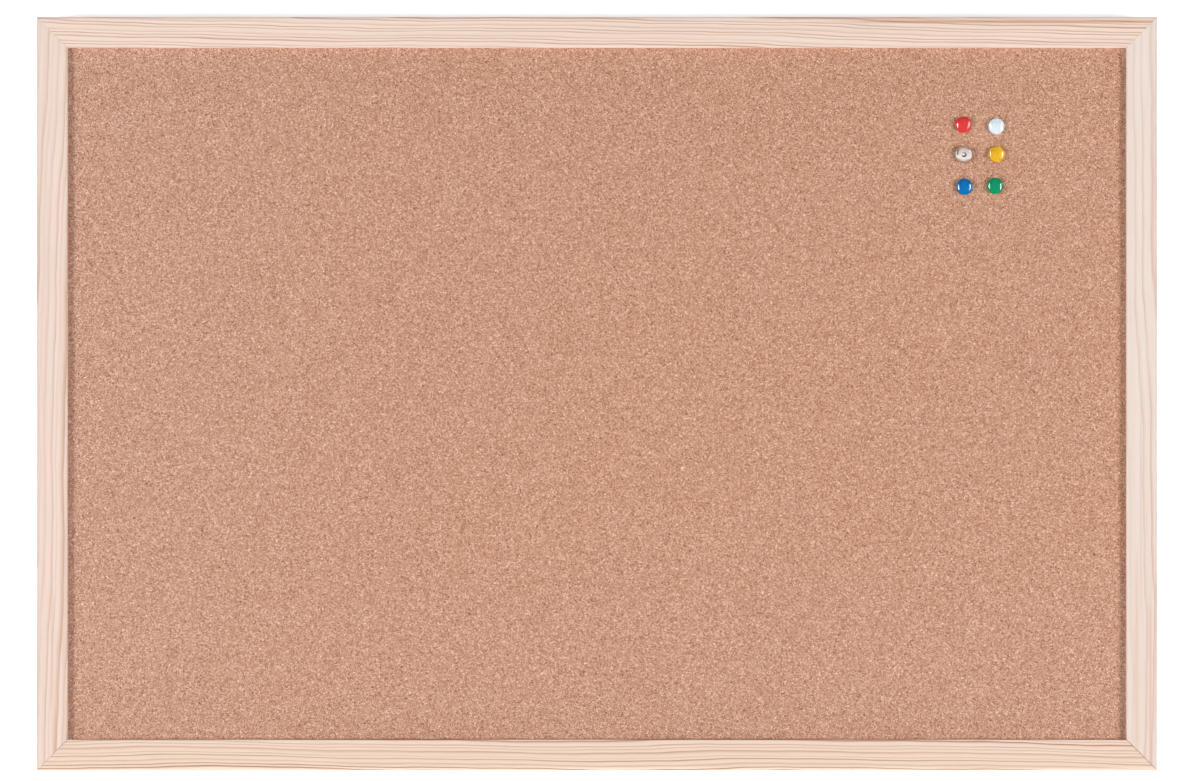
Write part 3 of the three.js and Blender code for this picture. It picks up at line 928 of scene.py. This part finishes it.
def rail_mesh(side):
    """A mitred length of moulding whose front follows its year rings in a very low relief."""
    inward, back = np.array(rail_section()).T
    run_in, run_back = np.roll(inward, -1) - np.roll(inward, 1), np.roll(back, -1) - np.roll(back, 1)
    length = np.hypot(run_in, run_back)
    normal_in, normal_back = run_back / length, -run_in / length
    shown = 1 - smooth(RELIEF_FADE_START * GROOVE_FRONT, GROOVE_FRONT, back)
    stations = np.linspace(-1, 1, round(2 * side.half / STATION_PITCH) + 1)[:, None]
    gap = np.array([outer + (inner - outer) * inward / RAIL_WIDTH for outer, inner in side.gaps])
    end = np.where(stations < 0, gap[0], gap[1])
    along = stations * (side.half - inward - end / math.sqrt(2))
    relief = GRAIN_RELIEF * shown * late_wood(side.grain, ring_phase(side.grain, along, inward, back))
    points = side.place(along, inward + normal_in * relief, back + normal_back * relief)
    rows, count = along.shape
    faces = [
        (j * count + i, j * count + (i + 1) % count, (j + 1) * count + (i + 1) % count, (j + 1) * count + i)
        for j in range(rows - 1)
        for i in range(count)
    ]
    faces += [tuple(range(count)), tuple(range((rows - 1) * count, rows * count))]
    return make_mesh(side.node, points.reshape(-1, 3), faces)


def v_nail_outline():
    """A V-nail's slot as (inward, aside) points, with the middle of its bend at the origin."""
    half = V_NAIL_THICKNESS / 2 + SLOT_FIT
    leg = V_NAIL_LEG + SLOT_FIT
    cos, sin = math.cos(V_NAIL_HALF_ANGLE), math.sin(V_NAIL_HALF_ANGLE)
    leg_end = [(leg * cos + side * half * sin, leg * sin - side * half * cos) for side in (1, -1)]
    other_end = [(inward, -aside) for inward, aside in reversed(leg_end)]
    return [(-half / sin, 0), *other_end, (half / sin, 0), *leg_end]


def v_nail_slots(corner_x, corner_z):
    """The slots of one corner's V-nails, each open at the back, with its point towards the corner."""
    run = (V_NAILS_PER_CORNER - 1) * V_NAIL_SPACING + V_NAIL_LEG * math.cos(V_NAIL_HALF_ANGLE)
    first = (WEB * math.sqrt(2) - run) / 2
    way_x = math.copysign(math.sqrt(0.5), MIDDLE_X - corner_x)
    way_z = math.copysign(math.sqrt(0.5), MIDDLE_Z - corner_z)
    slots = []
    for i in range(V_NAILS_PER_CORNER):
        start = first + i * V_NAIL_SPACING
        outline = [
            (corner_x + (start + a) * way_x - b * way_z, corner_z + (start + a) * way_z + b * way_x)
            for a, b in v_nail_outline()
        ]
        slots.append(prism(outline, BACK - V_NAIL_DEPTH, BACK + CUT_OVERRUN))
    return slots


def add_frame():
    for side in SIDES:
        cutters = [slot for corner in side.corners() for slot in v_nail_slots(*corner)]
        if side.node == "top_rail":
            pilot = NAIL_DIAMETER / 2 + SLOT_FIT
            cutters += [round_hole(nail, pilot, box_mm(nail)[0][Y], BACK) for nail in HANGER_NAILS]
        add_piece(side.node, cut(rail_mesh(side), cutters), pine(side))


# Panel
def cork_lines():
    """Grid lines in x and in z: even over the open face and just past it, and one at each edge."""
    lines = []
    for axis, start, end in ((X, LEFT, RIGHT), (Z, BOTTOM, TOP)):
        low, high = start + RAIL_WIDTH, end - RAIL_WIDTH
        inner = np.linspace(low - CORK_PITCH, high + CORK_PITCH, round((high - low) / CORK_PITCH) + 3)
        lines.append(np.concatenate(([PANEL_LOW[axis]], inner, [PANEL_HIGH[axis]])))
    return lines


def cork_face():
    """A grid of points on the sheet's face, rough and pitted where the frame leaves it open."""
    random = np.random.default_rng(CORK_SEED)
    x, z = (part.copy() for part in np.meshgrid(*cork_lines(), indexing="ij"))
    open_face = (slice(2, -2), slice(2, -2))
    shape = x[open_face].shape
    for part in (x, z):
        part[open_face] += CORK_PITCH * CORK_JITTER * random.uniform(-1, 1, shape)
    depth = np.abs(random.normal(0, CORK_UNEVEN, shape))
    depth[random.random(shape) < CORK_PITS] += CORK_PIT_DEPTH
    y = np.full(x.shape, CORK_FACE)
    y[open_face] += depth
    return np.stack((x, y, z), -1)


def cork_mesh():
    """The sheet's rough face, its four edges and its flat back."""
    face = cork_face()
    columns, rows, _ = face.shape
    number = np.arange(columns * rows).reshape(columns, rows)
    squares = (number[:-1, :-1], number[1:, :-1], number[1:, 1:], number[:-1, 1:])
    faces = np.stack(squares, -1).reshape(-1, 4).tolist()
    rim = np.concatenate((number[:-1, 0], number[-1, :-1], number[:0:-1, -1], number[0, :0:-1])).tolist()
    front = face.reshape(-1, 3)
    back = front[rim].copy()
    back[:, Y] = CORK_BACK
    behind = [len(front) + i for i in range(len(rim))]
    for i in range(len(rim)):
        ahead = (i + 1) % len(rim)
        faces.append((rim[i], rim[ahead], behind[ahead], behind[i]))
    faces.append(tuple(behind))
    return make_mesh("cork_sheet", np.concatenate((front, back)), faces)


def pin_hole(colour):
    return round_hole(f"{colour}_pin_tack", TACK_DIAMETER / 2 + TACK_FIT, CORK_FACE, CORK_BACK)


def add_panel():
    sheet = cut(cork_mesh(), [pin_hole(colour) for colour in PIN_COLOURS])
    add_piece("cork_sheet", sheet, cork(), CORK_SMOOTH_ANGLE)
    finish_node("core_board", fibreboard())
    finish_node("backing_sheet", hardboard(), BACKING_EDGE_EASE)


# Round pieces
def turned(node, profile, x, z, base, segments):
    """A round body about an axis along Y, from (radius, y) points that start and end on the axis."""
    inner = profile[1:-1]
    vertices = [(x, base + profile[0][1], z), (x, base + profile[-1][1], z)]
    for r, y in inner:
        vertices += [(x + r * math.cos(a), base + y, z + r * math.sin(a)) for a in turns(segments)]
    first = [2 + i * segments for i in range(len(inner))]
    faces = []
    for k in range(segments):
        ahead = (k + 1) % segments
        faces.append((0, first[0] + k, first[0] + ahead))
        faces.append((1, first[-1] + ahead, first[-1] + k))
        faces += [(a + k, b + k, b + ahead, a + ahead) for a, b in zip(first, first[1:])]
    return make_mesh(node, vertices, faces)


def cap_profile(radius, pocket, plated):
    """A domed head on a short rim, hollow for the tack's disc, and dimpled if it is plated."""
    dome = HEAD_HEIGHT - RIM_HEIGHT
    crown = PLATED_CROWN if plated else HEAD_CROWN
    profile = []
    for i in range(DOME_STEPS + 1):
        angle = math.pi / 2 * i / DOME_STEPS
        out, up = math.sin(angle), math.cos(angle)
        reach = (out ** crown + up ** crown) ** (-1 / crown)
        r = radius * out * reach
        dimple = 1 - smooth(DIMPLE_FLOOR_DIAMETER / 2, DIMPLE_DIAMETER / 2, r) if plated else 0
        profile.append((r, -RIM_HEIGHT - dome * up * reach + DIMPLE_DEPTH * dimple))
    ceiling = -DISC_THICKNESS - TACK_FIT
    rim = [
        (radius, -RIM_HEIGHT, 0),
        (radius, 0, RIM_BEVEL),
        (pocket, 0, POCKET_ROUND),
        (pocket, ceiling, POCKET_ROUND),
        (0, ceiling, 0),
    ]
    return profile + rounded(rim, RIM_STEPS)[1:]


def tack_profile(disc, length):
    """A disc under the head, with a point that stands out behind it."""
    shank = TACK_DIAMETER / 2
    corners = [
        (0, -DISC_THICKNESS, 0),
        (disc, -DISC_THICKNESS, DISC_EASE),
        (disc, 0, DISC_EASE),
        (shank, 0, TACK_FILLET),
        (shank, length - TACK_TIP, TACK_SHOULDER),
        (0, length, 0),
    ]
    return rounded(corners, SHANK_STEPS)


def head_material(colour):
    """A pin head's material and the name of its slot."""
    if colour == "silver":
        return plated_head("silver_pin_cap"), "nickel"
    slot = f"{colour}_plastic"
    return plastic(slot, *PLASTICS[colour]), slot


def add_pins(steel):
    for colour in PIN_COLOURS:
        cap, tack = f"{colour}_pin_cap", f"{colour}_pin_tack"
        x, z, _, base = axis_of(cap)
        disc = width_of(tack) / 2
        material, slot = head_material(colour)
        profile = cap_profile(width_of(cap) / 2, disc + TACK_FIT, plated=colour == "silver")
        add_piece(cap, turned(cap, profile, x, z, base, HEAD_SEGMENTS), material)
        profile = tack_profile(disc, box_mm(tack)[1][Y] - base)
        add_piece(tack, turned(tack, profile, x, z, base, SHANK_SEGMENTS), steel)


# Fittings at the back
def nail_profile(head_radius, length):
    """A nail from its point at 0 to its slightly domed head at the back."""
    shank = NAIL_DIAMETER / 2
    neck = length - NAIL_HEAD_THICKNESS
    corners = [
        (0, 0, 0),
        (shank, NAIL_POINT, NAIL_SHOULDER),
        (shank, neck, NAIL_FILLET),
        (head_radius, neck, NAIL_HEAD_LOWER_EASE),
        (head_radius, length, NAIL_HEAD_EASE),
        (0, length, 0),
    ]
    return rounded(corners, SHANK_STEPS)


def hanger_strip(low, high):
    """A hanger's edge as (x, y) points: flat tabs, and a middle that is bent away from the rail."""
    middle, end = (low[X] + high[X]) / 2, (high[X] - low[X]) / 2
    foot = end - HANGER_TAB
    top = foot - HANGER_JOGGLE
    inner, outer = HANGER_BEND, HANGER_BEND + HANGER_THICKNESS
    tab, raised = low[Y], high[Y] - HANGER_THICKNESS
    front = [(-end, tab, 0), (-foot, tab, outer), (-top, raised, inner)]
    front += [(-x, y, radius) for x, y, radius in reversed(front)]
    back = [(end, tab, 0), (foot, tab, inner), (top, raised, outer)]
    back += [(-x, y, radius) for x, y, radius in reversed(back)]
    corners = front + [(x, y + HANGER_THICKNESS, radius) for x, y, radius in back]
    return rounded([(middle + x, y, radius) for x, y, radius in corners], BEND_STEPS, closed=True)


def hanger_outline(low, high):
    """A hanger's face as (x, z) points: round corners, and V notches along the lower edge."""
    middle = (low[X] + high[X]) / 2
    raised = high[X] - low[X] - 2 * (HANGER_TAB + HANGER_JOGGLE)
    count = math.floor((raised - 2 * TOOTH_MARGIN) / TOOTH_PITCH)
    half = (TOOTH_PITCH - TOOTH_TIP) / 2
    corners = [(low[X], high[Z], HANGER_CORNER), (low[X], low[Z], HANGER_CORNER)]
    for i in range(count):
        x = middle + (i - (count - 1) / 2) * TOOTH_PITCH
        for aside, rise in ((-half, 0), (0, TOOTH_DEPTH), (half, 0)):
            corners.append((x + aside, low[Z] + rise, TOOTH_ROUND))
    corners += [(high[X], low[Z], HANGER_CORNER), (high[X], high[Z], HANGER_CORNER)]
    return rounded(corners, BEND_STEPS, closed=True)


def add_hanger(node, zinc):
    low, high = box_mm(node)
    strip = prism(hanger_strip(low, high), low[Z] - CUT_OVERRUN, high[Z] + CUT_OVERRUN, axis=Z)
    face = prism(hanger_outline(low, high), low[Y] - CUT_OVERRUN, high[Y] + CUT_OVERRUN)
    nails = [nail for nail in HANGER_NAILS if nail.startswith(node)]
    holes = [round_hole(nail, NAIL_DIAMETER / 2 + NAIL_FIT, low[Y], high[Y]) for nail in nails]
    mesh = cut(cut(make_mesh(node, *strip), [face], "INTERSECT"), holes)
    ease_edges(add_piece(node, mesh, zinc), HANGER_EDGE_EASE)


def add_fittings(steel):
    zinc = zinc_steel()
    for node in sorted(BODY_OF):
        if node.startswith("v_nail_"):
            finish_node(node, zinc, V_NAIL_EDGE_EASE)
        elif node.endswith("_hanger"):
            add_hanger(node, zinc)
    for nail in HANGER_NAILS:
        x, z, tip, end = axis_of(nail)
        profile = nail_profile(width_of(nail) / 2, end - tip)
        add_piece(nail, turned(nail, profile, x, z, tip, SHANK_SEGMENTS), steel)


# Stage
def rectangle(half_width, first, last):
    """Corners of a rectangle across the view, from the y and z of two of its edges."""
    return [(-half_width, *first), (half_width, *first), (half_width, *last), (-half_width, *last)]


def add_plane(name, corners, material):
    mesh = bpy.data.meshes.new(name)
    mesh.from_pydata(corners, [], [(0, 1, 2, 3)])
    mesh.materials.append(material)
    plane = add_object(name, mesh)
    return plane


def add_card(name, corners, colour):
    """A card that shows in reflections only."""
    graph = new_graph(name)
    uneven = graph.noise(graph.place(), scale=0.002, detail=1.0)
    strength = graph.remap(uneven, 0, 1, 0.95, 1.05)
    glow = graph.add("ShaderNodeEmission", {"Color": (*colour, 1), "Strength": strength})
    card = add_plane(name, corners, graph.finished(glow.outputs[0]))
    card.visible_camera = card.visible_diffuse = card.visible_shadow = card.visible_transmission = False


def wall_paint():
    """White paint that keeps the board's shadow, and lets a camera behind the wall see through it."""
    graph = new_graph("wall_paint")
    front = graph.painted((WALL_WHITE, WALL_WHITE, WALL_WHITE, 1), WALL_GLOW)
    clear = graph.add("ShaderNodeBsdfTransparent", {}).outputs[0]
    behind = graph.add("ShaderNodeNewGeometry", {}).outputs["Backfacing"]
    return graph.finished(graph.add("ShaderNodeMixShader", {0: behind, 1: front, 2: clear}).outputs[0])


def floor_paint():
    """Pale, slightly speckled paint that keeps shadows."""
    graph = new_graph("floor_paint")
    speckle = graph.noise(graph.place(), scale=0.02, detail=3.0)
    return graph.finished(graph.painted(graph.mix(speckle, *FLOOR_TONES), FLOOR_GLOW))


def beside(angle, distance):
    """The way from the board to a spot in front of it, turned to the right by an angle."""
    return Vector((math.sin(angle), -math.cos(angle), 0)) * distance


def add_dark_card():
    """The dark card at the left that the plated head mirrors."""
    x, z, _, _ = axis_of("silver_pin_cap")
    pin = Vector((x, 0, z)) * MM
    near, far = (pin + beside(angle, DARK_CARD_DISTANCE) for angle in DARK_CARD_ANGLES)
    low, high = Vector((0, 0, DARK_CARD_LOW)), Vector((0, 0, DARK_CARD_HIGH))
    add_card("left_card", [near + low, far + low, far + high, near + high], DARK_CARD_COLOUR)


def add_stage():
    floor_z, wall_y = cad_box[0].z - FLOOR_DROP, cad_box[1].y
    wall = add_plane("wall", rectangle(STAGE_REACH, (wall_y, floor_z), (wall_y, WALL_TOP)), wall_paint())
    wall.visible_diffuse = wall.visible_glossy = wall.visible_shadow = wall.visible_transmission = False
    edges = (-STAGE_REACH, floor_z), (STAGE_REACH, floor_z)
    floor = add_plane("floor", rectangle(STAGE_REACH, *edges), floor_paint())
    floor.visible_glossy = False
    for name, (first, last, colour) in CARDS.items():
        add_card(name, rectangle(CARD_HALF_WIDTH, first, last), colour)
    add_dark_card()


# Light and camera
def add_world():
    """Even light all round, with a white background wherever the camera or a mirror sees it."""
    world = bpy.data.worlds.new("studio")
    bpy.context.scene.world = world
    graph = Graph(world)
    strength = graph.times(graph.seen(), 1 - AMBIENT, AMBIENT)
    background = graph.add("ShaderNodeBackground", {"Color": (1, 1, 1, 1), "Strength": strength})
    graph.add("ShaderNodeOutputWorld", {"Surface": background.outputs[0]})


def add_lamp(name, place, target, size, power):
    lamp = bpy.data.lights.new(name, "AREA")
    lamp.shape, lamp.energy = "RECTANGLE", power
    lamp.size, lamp.size_y = size
    item = add_object(name, lamp)
    item.location = place
    item.rotation_euler = (target - place).to_track_quat("-Z", "Y").to_euler()
    item.visible_camera = False
    return item


def plastic_heads():
    """A group that a lamp's light is linked to, so that it falls on the plastic pin heads alone."""
    group = bpy.data.collections.new("plastic_heads")
    for colour in PLASTICS:
        group.objects.link(bpy.data.objects[f"{colour}_pin_cap_fine"])
    return group


def add_lights():
    """Softboxes at both sides, strips that show as bars of light on the plastic heads, and weak fills."""
    middle = Vector((MIDDLE_X, FRONT, MIDDLE_Z)) * MM
    for name, side in (("left", -1), ("right", 1)):
        place = middle + beside(side * SOFTBOX_ANGLE, LAMP_DISTANCE) - Vector((0, 0, SOFTBOX_DROP))
        softbox = add_lamp(f"softbox_{name}", place, middle, SOFTBOX_SIZE, SOFTBOX_POWER)
        softbox.visible_glossy = False
    heads = plastic_heads()
    for name, (angle, power) in STRIPS.items():
        strip = add_lamp(f"strip_{name}", middle + beside(angle, LAMP_DISTANCE), middle, STRIP_SIZE, power)
        strip.visible_diffuse = strip.visible_transmission = False
        strip.light_linking.receiver_collection = heads
    add_lamp("rear_fill", middle + REAR_FILL_PLACE, middle, REAR_FILL_SIZE, REAR_FILL_POWER)
    for name, (rise, power) in LONG_FILLS.items():
        fill = add_lamp(name, middle + Vector((0, 0, rise)), middle, LONG_FILL_SIZE, power)
        fill.visible_glossy = False


def add_camera():
    """Square to the board, at the height and side that put its outline where the photograph has it."""
    scale = (RIGHT - LEFT) / (OUTLINE_RIGHT - OUTLINE_LEFT)
    right_of_middle = (PHOTO_WIDTH / 2 - (OUTLINE_LEFT + OUTLINE_RIGHT) / 2) * scale
    above_middle = ((OUTLINE_TOP + OUTLINE_BOTTOM) / 2 - PHOTO_HEIGHT / 2) * scale
    camera = add_object("camera", bpy.data.cameras.new("camera"))
    bpy.context.scene.camera = camera
    camera.data.sensor_width = SENSOR_WIDTH
    camera.data.lens = SENSOR_WIDTH * CAMERA_DISTANCE / (PHOTO_WIDTH * scale)
    camera.location = (
        (MIDDLE_X + right_of_middle) * MM,
        (FRONT + OUTER_ARRIS - CAMERA_DISTANCE) * MM,
        (MIDDLE_Z + above_middle) * MM,
    )
    camera.rotation_euler = (math.pi / 2, 0, 0)


bpy.context.scene.view_settings.view_transform = "Standard"
steel = bright_steel()
add_frame()
add_panel()
add_pins(steel)
add_fittings(steel)
add_stage()
add_world()
add_lights()
add_camera()
